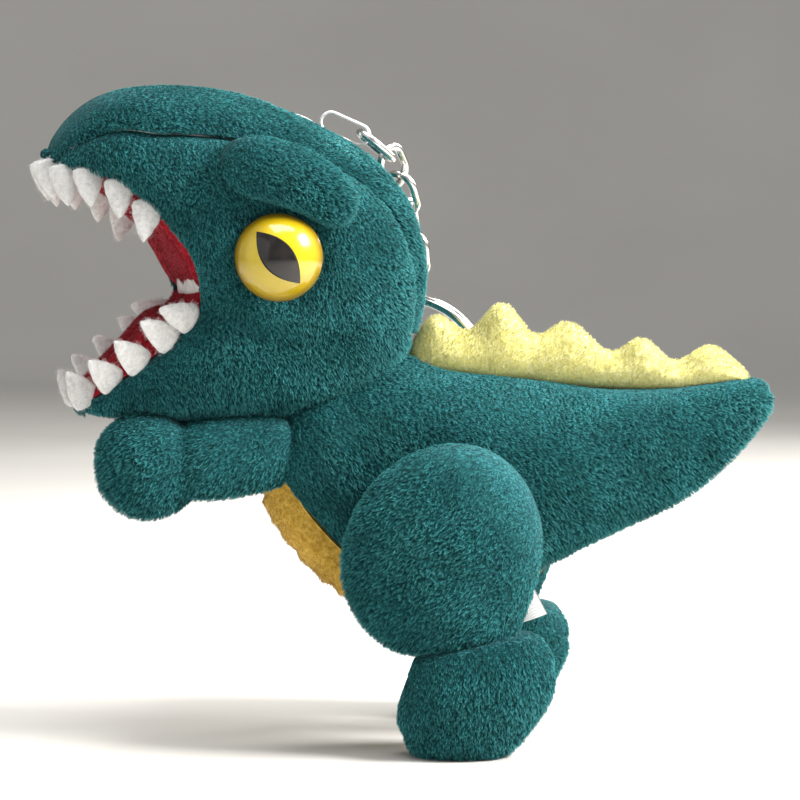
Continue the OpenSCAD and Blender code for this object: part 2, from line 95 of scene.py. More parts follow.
def add(tree, kind, settings=(), **inputs):
    """A node with its settings and input values; a value that is a socket is linked."""
    node = tree.nodes.new(kind)
    for key, value in settings:
        setattr(node, key, value)
    for key, value in inputs.items():
        numbered = key[0] == "i" and key[1:].isdigit()
        socket = node.inputs[int(key[1:]) if numbered else key.replace("_", " ")]
        if isinstance(value, bpy.types.NodeSocket):
            tree.links.new(value, socket)
        else:
            socket.default_value = value
    return node


def noise(tree, vector, scale, detail=3.0, rough=0.6):
    return add(tree, "ShaderNodeTexNoise", Vector=vector, Scale=scale, Detail=detail,
               Roughness=rough).outputs[0]


def ramp(tree, value, *stops):
    node = add(tree, "ShaderNodeValToRGB", Fac=value)
    elements = node.color_ramp.elements
    while len(elements) < len(stops):
        elements.new(0.5)
    for element, (place, colour) in zip(elements, stops):
        element.position = place
        element.color = (*colour, 1) if len(colour) == 3 else colour
    return node.outputs["Color"]


def paint(tree, bsdf, socket, value, *stops):
    """One of the shader's sockets, set by a ramp over a value."""
    tree.links.new(ramp(tree, value, *stops), bsdf.inputs[socket])


def grey(v):
    return (v, v, v)


def object_coords(tree, turn=(0, 0, 0), stretch=(1, 1, 1)):
    coords = tree.nodes.new("ShaderNodeTexCoord").outputs["Object"]
    return add(tree, "ShaderNodeMapping", Vector=coords, Rotation=turn, Scale=stretch).outputs[0]


def mixed(tree, mode, amount, a, b):
    node = add(tree, "ShaderNodeMix", [("data_type", "RGBA"), ("blend_type", mode)])
    for socket, value in ((node.inputs[0], amount), (node.inputs[6], a), (node.inputs[7], b)):
        if isinstance(value, bpy.types.NodeSocket):
            tree.links.new(value, socket)
        else:
            socket.default_value = (*value, 1) if isinstance(value, tuple) else value
    return node.outputs[2]


def cloth(name, dark, mid, light, streak=700, stretch=(1, 1, 1), turn=(0, 0, 0), bump=0.00025, sheen=0.15):
    """A napped cloth: short streaks along the nap over slow changes of shade."""
    mat, tree, bsdf = new_material(name)
    along = object_coords(tree, turn, stretch)
    plain = object_coords(tree)
    streaks = noise(tree, along, streak, 4, 0.65)
    shade = noise(tree, plain, 90, 2, 0.5)
    colour = ramp(tree, streaks, (0.34, dark), (0.5, mid), (0.68, light))
    tone = ramp(tree, shade, (0.3, grey(0.72)), (0.7, grey(1.0)))
    tree.links.new(mixed(tree, "MULTIPLY", 0.8, colour, tone), bsdf.inputs["Base Color"])
    paint(tree, bsdf, "Roughness", streaks, (0.3, grey(0.95)), (0.7, grey(0.78)))
    bsdf.inputs["Sheen Weight"].default_value = sheen
    bsdf.inputs["Sheen Roughness"].default_value = 0.45
    bsdf.inputs["Sheen Tint"].default_value = (*[min(1, 0.35 + c) for c in light], 1)
    bsdf.inputs["Specular IOR Level"].default_value = 0.15
    relief = add(tree, "ShaderNodeBump", Strength=0.9, Distance=bump, Height=streaks)
    tree.links.new(relief.outputs[0], bsdf.inputs["Normal"])
    return mat


def strand(name, root, tip, light, rough=0.55, contrast=0.7):
    """Pile fibres: darker towards the root as painted shade deep in the pile, each with a shade of its own.
    """
    mat, tree, bsdf = new_material(name)
    info = tree.nodes.new("ShaderNodeHairInfo")
    # painted shade: the root colour darkens each fibre where the pile shades it between the tufts, and the
    # ramp lightens towards the free end
    along = ramp(tree, info.outputs["Intercept"], (0.0, root), (0.55, tip), (1.0, light))
    own = ramp(tree, info.outputs["Random"], (0.0, grey(contrast)), (0.5, grey(0.5 + contrast / 3)),
               (1.0, grey(1.0)))
    patches = noise(tree, object_coords(tree), 160, 3, 0.6)
    drift = ramp(tree, patches, (0.35, grey(0.70)), (0.65, grey(1.0)))
    colour = mixed(tree, "MULTIPLY", 1.0, mixed(tree, "MULTIPLY", 1.0, along, own), drift)
    tree.links.new(colour, bsdf.inputs["Base Color"])
    bsdf.inputs["Roughness"].default_value = rough
    bsdf.inputs["Specular IOR Level"].default_value = 0.08
    return mat


PILE = 0.9  # length of the teal plush in millimetres
TEAL_DARK, TEAL, TEAL_LIGHT = (0.002, 0.022, 0.026), (0.008, 0.080, 0.090), (0.040, 0.220, 0.240)
teal = cloth("teal_plush", TEAL_DARK, TEAL, TEAL_LIGHT, 3000, (0.3, 1, 1), (0, 0.6, 0))
# The first colour of each pile is its root colour, darkened as painted shade in the pile.
teal_pile = strand("teal_pile", (0.002, 0.040, 0.046), (0.024, 0.260, 0.280), (0.180, 0.700, 0.720),
                   contrast=0.14)
lemon = cloth("spike_yellow", (0.76, 0.70, 0.24), (0.90, 0.85, 0.36), (0.95, 0.91, 0.50), 900)
lemon_pile = strand("spike_pile", (0.86, 0.80, 0.30), (0.93, 0.89, 0.42), (0.96, 0.94, 0.58), contrast=0.85)
gold = cloth("belly_yellow", (0.42, 0.24, 0.03), (0.62, 0.38, 0.06), (0.74, 0.49, 0.11), 1100)
gold_pile = strand("belly_pile", (0.45, 0.26, 0.03), (0.66, 0.42, 0.07), (0.78, 0.54, 0.14))
red = cloth("red_fleece", (0.16, 0.002, 0.008), (0.32, 0.006, 0.018), (0.46, 0.020, 0.035), 1300, bump=0.0002)
red_pile = strand("red_pile", (0.20, 0.003, 0.010), (0.36, 0.008, 0.020), (0.52, 0.03, 0.05))
felt = cloth("white_felt", (0.74, 0.73, 0.71), (0.87, 0.87, 0.86), (0.95, 0.95, 0.95), 1500, bump=0.0002)
felt_pile = strand("felt_fuzz", (0.80, 0.79, 0.78), (0.90, 0.90, 0.90), (0.96, 0.96, 0.96), contrast=0.9)
fibre_fill = cloth("stuffing", (0.70, 0.70, 0.68), (0.84, 0.84, 0.83), (0.93, 0.93, 0.92), 400)


def woven(name, colour, shade, threads):
    """Ribbon or label satin: crossed threads with a soft shine along one of them."""
    mat, tree, bsdf = new_material(name)
    coords = object_coords(tree, (0.0, 0.25, 0.0))
    waves = [add(tree, "ShaderNodeTexWave", [("bands_direction", axis)], Vector=coords, Scale=threads,
                 Distortion=0.4).outputs[1] for axis in ("X", "Y")]
    weave = add(tree, "ShaderNodeMath", [("operation", "MULTIPLY")], i0=waves[0], i1=waves[1]).outputs[0]
    slow = noise(tree, coords, 300)
    colour_now = mixed(tree, "MIX", ramp(tree, weave, (0.0, grey(0)), (0.8, grey(1))), shade, colour)
    tone = ramp(tree, slow, (0.3, grey(0.8)), (0.7, grey(1)))
    tree.links.new(mixed(tree, "MULTIPLY", 0.3, colour_now, tone), bsdf.inputs["Base Color"])
    paint(tree, bsdf, "Roughness", weave, (0.0, grey(0.7)), (1.0, grey(0.38)))
    relief = add(tree, "ShaderNodeBump", Strength=0.6, Distance=0.00008, Height=weave)
    tree.links.new(relief.outputs[0], bsdf.inputs["Normal"])
    bsdf.inputs["Sheen Weight"].default_value = 0.3
    return mat


ribbon = woven("ribbon", (0.90, 0.90, 0.89), (0.66, 0.66, 0.66), 2200)
satin = woven("label_satin", (0.93, 0.93, 0.93), (0.78, 0.78, 0.79), 3000)


def plated_wire():
    mat, tree, bsdf = new_material("nickel_wire")
    fine = noise(tree, object_coords(tree), 1200, 4, 0.7)
    slow = noise(tree, object_coords(tree), 150, 2, 0.5)
    paint(tree, bsdf, "Base Color", slow, (0.3, (0.55, 0.54, 0.52)), (0.7, (0.74, 0.73, 0.71)))
    paint(tree, bsdf, "Roughness", fine, (0.35, grey(0.13)), (0.7, grey(0.30)))
    relief = add(tree, "ShaderNodeBump", Strength=0.15, Distance=0.00003, Height=fine)
    tree.links.new(relief.outputs[0], bsdf.inputs["Normal"])
    bsdf.inputs["Metallic"].default_value = 1.0
    return mat


def painted_eye():
    """Clear-coated yellow plastic, deeper at the rim and swirled a little under the gloss."""
    mat, tree, bsdf = new_material("eye_yellow")
    radius = add(tree, "ShaderNodeAttribute", [("attribute_name", "rim")]).outputs["Fac"]
    swirl = noise(tree, object_coords(tree), 260, 3, 0.5)
    body = ramp(tree, radius, (0.0, (0.58, 0.44, 0.004)), (0.62, (0.60, 0.44, 0.003)),
                (0.86, (0.48, 0.32, 0.003)), (1.0, (0.16, 0.09, 0.002)))
    tone = ramp(tree, swirl, (0.3, grey(0.78)), (0.7, grey(1)))
    tree.links.new(mixed(tree, "MULTIPLY", 0.6, body, tone), bsdf.inputs["Base Color"])
    paint(tree, bsdf, "Roughness", swirl, (0.3, grey(0.16)), (0.7, grey(0.24)))
    bsdf.inputs["Coat Weight"].default_value = 1.0
    bsdf.inputs["Coat Roughness"].default_value = 0.04
    return mat


def gloss_black():
    mat, tree, bsdf = new_material("pupil_black")
    mottle = noise(tree, object_coords(tree), 700, 3, 0.5)
    tree.links.new(ramp(tree, mottle, (0.3, (0.004, 0.004, 0.004)), (0.7, (0.016, 0.012, 0.010))),
                   bsdf.inputs["Base Color"])
    tree.links.new(ramp(tree, mottle, (0.3, grey(0.10)), (0.7, grey(0.18))), bsdf.inputs["Roughness"])
    bsdf.inputs["Coat Weight"].default_value = 0.3
    bsdf.inputs["Coat Roughness"].default_value = 0.12
    return mat


def moulded_white():
    mat, tree, bsdf = new_material("washer")
    mottle = noise(tree, object_coords(tree), 900, 3, 0.5)
    paint(tree, bsdf, "Base Color", mottle, (0.3, (0.74, 0.73, 0.68)), (0.7, (0.84, 0.83, 0.79)))
    paint(tree, bsdf, "Roughness", mottle, (0.3, grey(0.38)), (0.7, grey(0.52)))
    return mat


nickel, eye_yellow, pupil_black, washer_white = plated_wire(), painted_eye(), gloss_black(), moulded_white()


# ---------------------------------------------------------------- mesh tools
def lattice(i, j, k, seed):
    h = (i * 73856093) ^ (j * 19349663) ^ (k * 83492791) ^ (seed * 2654435761)
    h = ((h ^ (h >> 13)) * 1274126177) & 0x7FFFFFFF
    h = (h ^ (h >> 16)) & 0xFFFF
    return h / 32767.5 - 1


def bumps(p, size, seed):
    """Smooth random field from -1 to 1 over points p, with features of that size in millimetres."""
    q = p / size
    base = np.floor(q).astype(np.int64)
    f = q - base
    w = f * f * (3 - 2 * f)
    total = 0
    for a in (0, 1):
        for b in (0, 1):
            for c in (0, 1):
                share = (w[..., 0] if a else 1 - w[..., 0]) * (w[..., 1] if b else 1 - w[..., 1])
                share = share * (w[..., 2] if c else 1 - w[..., 2])
                total = total + share * lattice(base[..., 0] + a, base[..., 1] + b, base[..., 2] + c, seed)
    return total


def lumps(p, seed, big=0.35, small=0.12):
    """The slow lumps of stuffing under cloth, and the finer unevenness of the cloth itself."""
    return big * bumps(p, 11.0, seed) + small * bumps(p, 3.6, seed + 1)


def make_object(name, verts, faces, mat):
    mesh = bpy.data.meshes.new(name)
    mesh.from_pydata((np.asarray(verts) * MM).tolist(), [], faces)
    mesh.validate()
    mesh.polygons.foreach_set("use_smooth", [True] * len(mesh.polygons))
    mesh.materials.append(mat)
    obj = bpy.data.objects.new(name, mesh)
    put(obj)
    return obj


def mark(obj, group, weights):
    """Stores a weight for each point in a vertex group."""
    vg = obj.vertex_groups.new(name=group)
    weights = np.round(np.asarray(weights, float), 2)
    for value in np.unique(weights):
        if value > 0:
            vg.add(np.nonzero(weights == value)[0].tolist(), float(value), "REPLACE")


def settle(obj, body, nodes=()):
    """Hides the CAD stand-ins of a finished piece and attaches it to its body."""
    if nodes:
        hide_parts(*nodes)
    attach(obj, body)
    return obj


def smoothstep(x, lo, hi):
    t = np.clip((x - lo) / (hi - lo), 0, 1)
    return t * t * (3 - 2 * t)


def turned(p, mirror=1):
    """Points of the unturned head, mirrored to one side and turned with it."""
    q = np.array(p, float)
    q[..., 1] *= mirror
    c, s = math.cos(HEAD_TURN), math.sin(HEAD_TURN)
    x, y = q[..., 0] - NECK_X, q[..., 1].copy()
    q[..., 0] = NECK_X + c * x - s * y
    q[..., 1] = s * x + c * y
    return q


HEAD_TURN = math.radians(13)
NECK_X = -12.0
FULLNESS, MOUTH_FULLNESS = 2 / 2.3, 2 / 3.6  # exponents of the sections, and of the mouth side of the head

# ---- cloth panels on a lofted form
# Sections of the head, fanned round the corner of the mouth: mouth x, z, outside x, z, half-width.
HEAD = [
    [-59.7, 95.0, -59.8, 95.4, 1.0], [-58.8, 94.4, -59.1, 96.2, 3.5], [-57.2, 92.8, -57.8, 99.6, 7.5],
    [-53.4, 92.0, -54.2, 103.4, 11.5], [-49.3, 90.2, -49.0, 106.4, 14.5], [-45.3, 86.6, -42.5, 107.6, 17],
    [-41.8, 82.2, -34.5, 107.5, 19], [-39.6, 78.4, -25.7, 105.8, 20.5], [-38.8, 75.8, -16.0, 101.8, 21.6],
    [-38.4, 74.6, -6.6, 96.6, 22], [-38.2, 73.7, 0.2, 88.4, 22], [-38.3, 72.8, 2.8, 78.2, 21.6],
    [-38.9, 71.8, 1.4, 67.4, 20.6], [-40.2, 70.6, -4.4, 58.6, 19.4], [-42.2, 68.6, -16.0, 53.4, 18],
    [-45.2, 65.4, -28.0, 52.0, 16], [-48.4, 62.4, -37.2, 53.0, 14], [-51.0, 59.8, -44.6, 54.2, 11.5],
    [-53.0, 57.8, -50.0, 54.2, 8.5], [-54.4, 56.4, -53.6, 54.8, 3.5], [-55.0, 55.7, -54.8, 55.3, 1.0],
]
# Sections of the body and tail: bottom x, z, top x, z, half-width.
BODY = [
    [-24.0, 58.4, -6.0, 68.4, 11.5], [-22.5, 46.4, 1.8, 63.9, 13.8], [-20.0, 36.4, 8.0, 61.9, 14.9],
    [-9.5, 24.9, 14.0, 61.2, 15], [4.5, 19.6, 20.0, 60.2, 15], [17.0, 24.4, 27.0, 59.4, 13.6],
    [26.4, 29.4, 34.0, 58.7, 11.5], [37.4, 34.8, 43.0, 58.6, 9], [46.4, 39.3, 50.0, 59.2, 7],
    [54.0, 45.3, 56.0, 60.1, 5.2], [59.3, 51.2, 60.0, 60.0, 3.2], [61.4, 53.9, 61.4, 57.9, 1],
    [61.8, 55.6, 61.8, 56.2, 0.3],
]
BELLY_DEG = [46, 46, 44, 42, 36, 20, 4, 0, 0, 0, 0, 0, 0]
BELLY_END = 6


def refine(rows, steps):
    """A smooth curve through the rows, with that many steps between each pair."""
    p = np.array(rows, float)
    out = []
    for i in range(len(p) - 1):
        a, b, c, d = p[max(i - 1, 0)], p[i], p[i + 1], p[min(i + 2, len(p) - 1)]
        for k in range(steps):
            t = k / steps
            out.append(0.5 * (2 * b + (c - a) * t + (2 * a - 5 * b + 4 * c - d) * t * t
                              + (3 * b - a - 3 * c + d) * t ** 3))
    out.append(p[-1])
    return np.array(out)


def on_sections(s, degrees, grow=0.0, front=FULLNESS):
    """Points of sections s (rows) at those angles (rows by columns) round each."""
    p, q = s[:, :2], s[:, 2:4]
    middle, span = (p + q) / 2, q - p
    length = np.linalg.norm(span, axis=1)
    span = span / length[:, None]
    t = np.radians(degrees)
    cos, sin = np.cos(t), np.sin(t)
    full = np.where(cos > 0, front, FULLNESS)
    u = -(length / 2 + grow)[:, None] * np.sign(cos) * np.abs(cos) ** full
    v = -(s[:, 4] + grow)[:, None] * np.sign(sin) * np.abs(sin) ** full
    return np.stack([middle[:, :1] + span[:, :1] * u, v, middle[:, 1:] + span[:, 1:] * u], axis=-1)


def panel_grid(sections, first, last, columns, front=FULLNESS):
    """Evenly spaced columns of points between two angles of each section."""
    fine = 8 * columns
    share = np.linspace(0, 1, fine + 1)
    first, last = np.asarray(first, float), np.asarray(last, float)
    p = on_sections(sections, first[:, None] + (last - first)[:, None] * share[None, :], 0.0, front)
    step = np.linalg.norm(np.diff(p, axis=1), axis=2)
    along = np.concatenate([np.zeros((len(p), 1)), np.cumsum(step, axis=1)], axis=1)
    out = np.empty((len(p), columns + 1, 3))
    for i in range(len(p)):
        want = np.linspace(0, along[i, -1], columns + 1)
        for axis in range(3):
            out[i, :, axis] = np.interp(want, along[i], p[i, :, axis])
    return out


def grid_normals(p, outward):
    n = np.cross(np.gradient(p, axis=1), np.gradient(p, axis=0))
    size = np.linalg.norm(n, axis=2, keepdims=True)
    n = n / np.maximum(size, 1e-9)
    sign = 1 if np.mean(np.sum(n * outward, axis=2)) > 0 else -1
    return n * sign


def distances(p):
    """Distance over the cloth from each edge of a grid: first and last column, first and last row."""
    across = np.linalg.norm(np.diff(p, axis=1), axis=2)
    down = np.linalg.norm(np.diff(p, axis=0), axis=2)
    col = np.concatenate([np.zeros((len(p), 1)), np.cumsum(across, axis=1)], axis=1)
    row = np.concatenate([np.zeros((1, p.shape[1])), np.cumsum(down, axis=0)], axis=0)
    return {"first": col, "last": col[:, -1:] - col, "top": row, "end": row[-1:, :] - row}


def seam(p, dist, depth, width, pucker=0.16, seed=3):
    """Depth of the dip that a seam pulls into padded cloth, with small puckers along it."""
    dip = depth * np.exp(-((dist / width) ** 1.25))
    ripple = pucker * bumps(p, 2.4, seed) * np.exp(-dist / (1.6 * width)) * smoothstep(dist, 0, 0.6 * width)
    return dip + ripple


def shell(name, p, n, thick, mat, pile_group=True):
    """A closed cloth panel: the grid p, and the same grid moved in by its thickness."""
    rows, cols = p.shape[:2]
    verts = np.concatenate([p.reshape(-1, 3), (p - n * thick).reshape(-1, 3)])
    k = rows * cols
    idx = np.arange(k).reshape(rows, cols)
    a, b, c, d = idx[:-1, :-1].ravel(), idx[:-1, 1:].ravel(), idx[1:, 1:].ravel(), idx[1:, :-1].ravel()
    outer = np.stack([a, b, c, d], 1)
    inner = np.stack([d, c, b, a], 1) + k
    faces = [outer, inner]
    for line, flip in ((idx[0], True), (idx[-1], False), (idx[:, 0], False), (idx[:, -1], True)):
        quad = np.stack([line[:-1], line[1:], line[1:] + k, line[:-1] + k], 1)
        faces.append(quad if flip else quad[:, ::-1])
    faces = np.concatenate(faces)
    test = np.cross(p[1:, :-1] - p[:-1, :-1], p[:-1, 1:] - p[:-1, :-1])
    if np.mean(np.sum(test * n[:-1, :-1], axis=2)) > 0:
        faces = faces[:, ::-1]
    obj = make_object(name, verts, faces.tolist(), mat)
    if pile_group:
        mark(obj, "pile", np.concatenate([np.ones(k), np.zeros(k)]))
    return obj


def solid(name, field, lo, hi, step, mat, seed=None, extra=None):
    """A closed mesh where field(points) is negative, with the unevenness of stuffed cloth."""
    lo, hi = np.array(lo, float), np.array(hi, float)
    axes = [np.arange(a, b + step, step) for a, b in zip(lo, hi)]
    grid = np.stack(np.meshgrid(*axes, indexing="ij"), -1)
    values = np.clip(field(grid), -4 * step, 4 * step).astype(np.float32)
    vdb = openvdb.FloatGrid(4 * step)
    vdb.copyFromArray(values)
    points, quads = vdb.convertToQuads(isovalue=0.0)
    p = np.array(points, float) * step + lo
    for _ in range(3):
        value, slope = field(p), gradient(field, p)
        steep = np.maximum(np.sum(slope ** 2, 1), 0.05)
        p = p - np.clip(value, -step, step)[:, None] * slope / steep[:, None]
    slope = gradient(field, p)
    slope = slope / np.maximum(np.linalg.norm(slope, axis=1), 1e-6)[:, None]
    if seed is not None:
        p = p + slope * lumps(p, seed)[:, None]
    if extra is not None:
        p = p + slope * extra(p)[:, None]
    v = p[quads[:, 0]], p[quads[:, 1]], p[quads[:, 2]]
    volume = np.sum(v[0] * np.cross(v[1], v[2]))
    if volume < 0:
        quads = quads[:, ::-1]
    obj = make_object(name, p, quads.tolist(), mat)
    mark(obj, "pile", np.ones(len(p)))
    return obj


def gradient(field, p, h=0.05):
    out = np.empty_like(p)
    for axis in range(3):
        d = np.zeros(3)
        d[axis] = h
        out[:, axis] = (field(p + d) - field(p - d)) / (2 * h)
    return out


def soft_max(a, b, k):
    """The larger of two fields, rounded over k where they meet."""
    h = np.clip(0.5 - 0.5 * (b - a) / k, 0, 1)
    return b * (1 - h) + a * h + k * h * (1 - h)


def soft_min(a, b, k):
    return -soft_max(-a, -b, k)


def ellipsoid(p, centre, half, turn_y=0.0, turn_z=0.0, power=2.0):
    """About the distance from an ellipsoid whose axes are turned about Y, then Z."""
    q = p - np.array(centre, float)
    c, s = math.cos(math.radians(turn_z)), math.sin(math.radians(turn_z))
    x, y, z = q[..., 0] * c + q[..., 1] * s, -q[..., 0] * s + q[..., 1] * c, q[..., 2]
    c, s = math.cos(math.radians(turn_y)), math.sin(math.radians(turn_y))
    x, z = x * c + z * s, -x * s + z * c
    a, b, d = half
    r = (np.abs(x / a) ** power + np.abs(y / b) ** power + np.abs(z / d) ** power) ** (1 / power)
    return (r - 1) * min(half)


def pile(obj, fibres, count, length, comb, seed, width=0.075, clump=0.35, children=4, spread=0.3):
    """Pile fibres on the marked part of a piece, leaning along comb."""
    obj.data.materials.append(fibres)
    obj.modifiers.new("pile", "PARTICLE_SYSTEM")
    system = obj.particle_systems[-1]
    system.seed = seed
    system.vertex_group_density = "pile"
    s = system.settings
    s.type = "HAIR"
    s.use_advanced_hair = True
    s.count = max(int(count / children), 1)
    s.emit_from = "FACE"
    s.use_emit_random = True
    s.distribution = "RAND"
    s.hair_step = 3
    s.render_step = 3
    s.display_step = 2
    speed = length * MM / 4  # a fibre grows for four units of time
    s.normal_factor = 0.5 * speed
    s.object_align_factor = [c * speed for c in comb]
    s.factor_random = spread * speed
    s.child_type = "INTERPOLATED"
    s.child_percent = 1
    s.rendered_child_count = children
    s.clump_factor = clump
    s.roughness_1 = 0.25 * length * MM
    s.roughness_1_size = 0.6 * MM
    s.roughness_endpoint = 0.12 * length * MM
    s.child_length = 1.0
    s.root_radius = 1.0
    s.tip_radius = 0.25
    s.radius_scale = width * MM
    s.material = len(obj.data.materials)
    return obj


# ---------------------------------------------------------------- head
head_rows = refine(HEAD, 9)
HEAD_STEP = 9
row_of = np.arange(len(head_rows)) / HEAD_STEP - 1  # section number of each fine row
LIP_DEG = 42
lip = np.clip(20 + 28 * np.minimum(row_of, 18 - row_of), 16, LIP_DEG)
# The side panels close in on the corners of the mouth.
lip = lip - 14 * np.exp(-(((row_of - 9.5) / 2.4) ** 2))
gusset = np.interp(row_of, [-1, 0, 4, 11], [40, 76, 76, 22])
gusset[row_of > 11] = 0
SEAM = 0.35
FUR_ROOM = 0.4  # the cloth lies this far inside the plush surface

EYE_AT = np.array([-24.7, -23.5, 79.8])
EYE_YAW = math.radians(12)
EYE_OUT = np.array([-math.sin(EYE_YAW), -math.cos(EYE_YAW), 0])
EYE_D, EYE_H = 14.0, 4.6


def near_line(p, line):
    """Distance in the side view from points p to a line of (x, z) points."""
    best = np.full(p.shape[:-1], 1e9)
    q = p[..., [0, 2]]
    for a, b in zip(line[:-1], line[1:]):
        a, b = np.array(a, float), np.array(b, float)
        t = np.clip(np.sum((q - a) * (b - a), -1) / np.sum((b - a) ** 2), 0, 1)
        best = np.minimum(best, np.linalg.norm(q - (a + t[..., None] * (b - a)), axis=-1))
    return best


CHEEK_FOLD = [(-34.0, 71.5), (-28.0, 68.2), (-20.0, 66.6), (-13.0, 67.2)]


def outward_from(sections, p):
    middle = (sections[:, :2] + sections[:, 2:4]) / 2
    centre = np.stack([middle[:, 0], np.zeros(len(middle)), middle[:, 1]], -1)
    return p - centre[:, None, :]


def shaped(sections, p, rows, shape, mirror):
    """A panel's points and normals, once its shape is laid over the lofted form."""
    n = grid_normals(p, outward_from(sections, p))
    p = p + n * shape(p, distances(p), rows[:, None])[..., None]
    n = grid_normals(p, n)
    flip = np.array([1, mirror, 1])
    return p * flip, n * flip


def head_panel(name, keep, first, last, columns, shape, mat, mirror=1):
    sections = head_rows[keep]
    p = panel_grid(sections, first[keep], last[keep], columns, MOUTH_FULLNESS)
    p, n = shaped(sections, p, row_of[keep], shape, mirror)
    return shell(name, turned(p), turned(n + [NECK_X, 0, 0]) - turned([NECK_X, 0.0, 0.0]), 0.9, mat)


def side_shape(seed):
    def shape(p, d, row):
        fade = smoothstep(row, 1.0, 3.0)
        top_depth = np.interp(row, [-1, 2, 6, 8, 11, 12, 19], [0.6, 1.9, 1.9, 1.0, 0.7, 0.5, 0.4])
        out = lumps(p, seed) * fade - FUR_ROOM
        out -= seam(p, d["last"], top_depth, 2.6, 0.25, seed)
        out -= seam(p, d["first"], 0.9, 1.8, 0.12, seed + 5)
        to_eye = p - EYE_AT
        off = np.linalg.norm(to_eye - np.sum(to_eye * EYE_OUT, -1)[..., None] * EYE_OUT, axis=-1)
        out -= 1.3 * np.exp(-((off / 6.5) ** 4))
        out += 0.5 * np.exp(-(((off - 10.5) / 2.6) ** 2))
        out -= 0.9 * np.exp(-((near_line(p, CHEEK_FOLD) / 2.2) ** 2))
        return out
    return shape


def gusset_shape(p, d, row):
    out = lumps(p, 31) * smoothstep(row, 1.0, 3.0) - FUR_ROOM
    out += 0.5 * smoothstep(np.minimum(d["first"], d["last"]), 0, 6) * smoothstep(row, 1, 3)
    depth = np.interp(row, [-1, 2, 8, 11], [0.6, 1.4, 1.0, 0.7])
    for edge in ("first", "last"):
        out -= seam(p, d[edge], depth, 2.4, 0.25, 37)
    return out


def palate_shape(p, d, row):
    middle = smoothstep(np.minimum(d["first"], d["last"]), 0.5, 6)
    out = -1.6 * middle * smoothstep(row, 2, 5) + lumps(p, 41, 0.2, 0.08)
    return out - seam(p, d["first"], 0.8, 1.6) - seam(p, d["last"], 0.8, 1.6) - seam(p, d["end"], 1.8, 2.2)


def tongue_shape(p, d, row):
    edge = np.minimum(d["first"], d["last"])
    out = 1.3 * smoothstep(edge, 0.8, 6.5) * smoothstep(d["top"], 0, 6) + lumps(p, 47, 0.2, 0.08)
    out -= 0.45 * np.exp(-((p[..., 1] / 1.8) ** 2))
    return out - seam(p, d["first"], 0.9, 1.6) - seam(p, d["last"], 0.9, 1.6) - seam(p, d["top"], 1.6, 2.0)


every = np.arange(len(row_of))
for side, sign in SIDES.items():
    obj = head_panel(f"head_side_{side}_plush", every, lip + SEAM, 180 - gusset - SEAM, 76,
                     side_shape(13 if sign == 1 else 19), teal, sign)
    pile(obj, teal_pile, 90000, PILE, (0.35, 0, -0.75), 5 + sign)
    settle(obj, "toy", [f"head_side_{side}"])
obj = head_panel("head_top_gusset_plush", every[row_of <= 11], 180 - gusset, 180 + gusset, 88,
                 gusset_shape, teal)
pile(obj, teal_pile, 70000, PILE, (0.6, 0, -0.5), 9)
settle(obj, "toy", ["head_top_gusset"])
obj = head_panel("mouth_lining_upper_fleece", every[row_of <= 9], -lip, lip, 60, palate_shape, red)
pile(obj, red_pile, 12000, 0.5, (0.2, 0, 0), 12, 0.03, 0.0, 6)
settle(obj, "toy", ["mouth_lining_upper"])
obj = head_panel("mouth_lining_lower_fleece", every[row_of >= 9], -lip, lip, 60, tongue_shape, red)
pile(obj, red_pile, 9000, 0.5, (-0.2, 0, 0), 13, 0.03, 0.0, 6)
settle(obj, "toy", ["mouth_lining_lower"])


# ---- teeth
TOOTH_H, TOOTH_T = 5.6, 1.9
TOOTH_LEAN = math.radians(16)


def petal(length, width, thick, blunt, rings=22, around=26):
    """A felt petal along +X: base at the origin, width along Y, thickness along Z."""
    rows = []
    for i in range(rings + 1):
        u = i / rings
        x = -1.4 + (length + 1.4) * u
        out = max(1 - u ** blunt, 0) ** 0.75
        root = min(1, 0.80 + 0.9 * u) * min(1, math.sqrt(u * 14 + 0.02))
        half_w = width / 2 * out * root
        half_t = thick / 2 * max(1 - u ** 3.2, 0) ** 0.5 * min(1, math.sqrt(u * 14 + 0.02))
        a = np.linspace(0, 2 * np.pi, around, endpoint=False)
        rows.append(np.stack([np.full(around, x), half_w * np.cos(a), half_t * np.sin(a)], -1))
    return np.array(rows)


def place_tooth(row, side):
    """Where a tooth stands on the lip, and its axes as columns."""
    i = int(round((row + 1) * HEAD_STEP))
    s = head_rows[i:i + 1]
    angle = side * (lip[i] + 1)
    at = on_sections(s, np.array([[angle]]), -0.2, MOUTH_FULLNESS)[0, 0]
    into = math.atan2(s[0, 1] - s[0, 3], s[0, 0] - s[0, 2])
    lean = -TOOTH_LEAN if angle > 0 else TOOTH_LEAN
    axes = Matrix.Rotation(-into, 3, "Y") @ Matrix.Rotation(lean, 3, "Z")
    return at, np.array(axes @ Matrix.Rotation(math.pi / 2, 3, "X"))


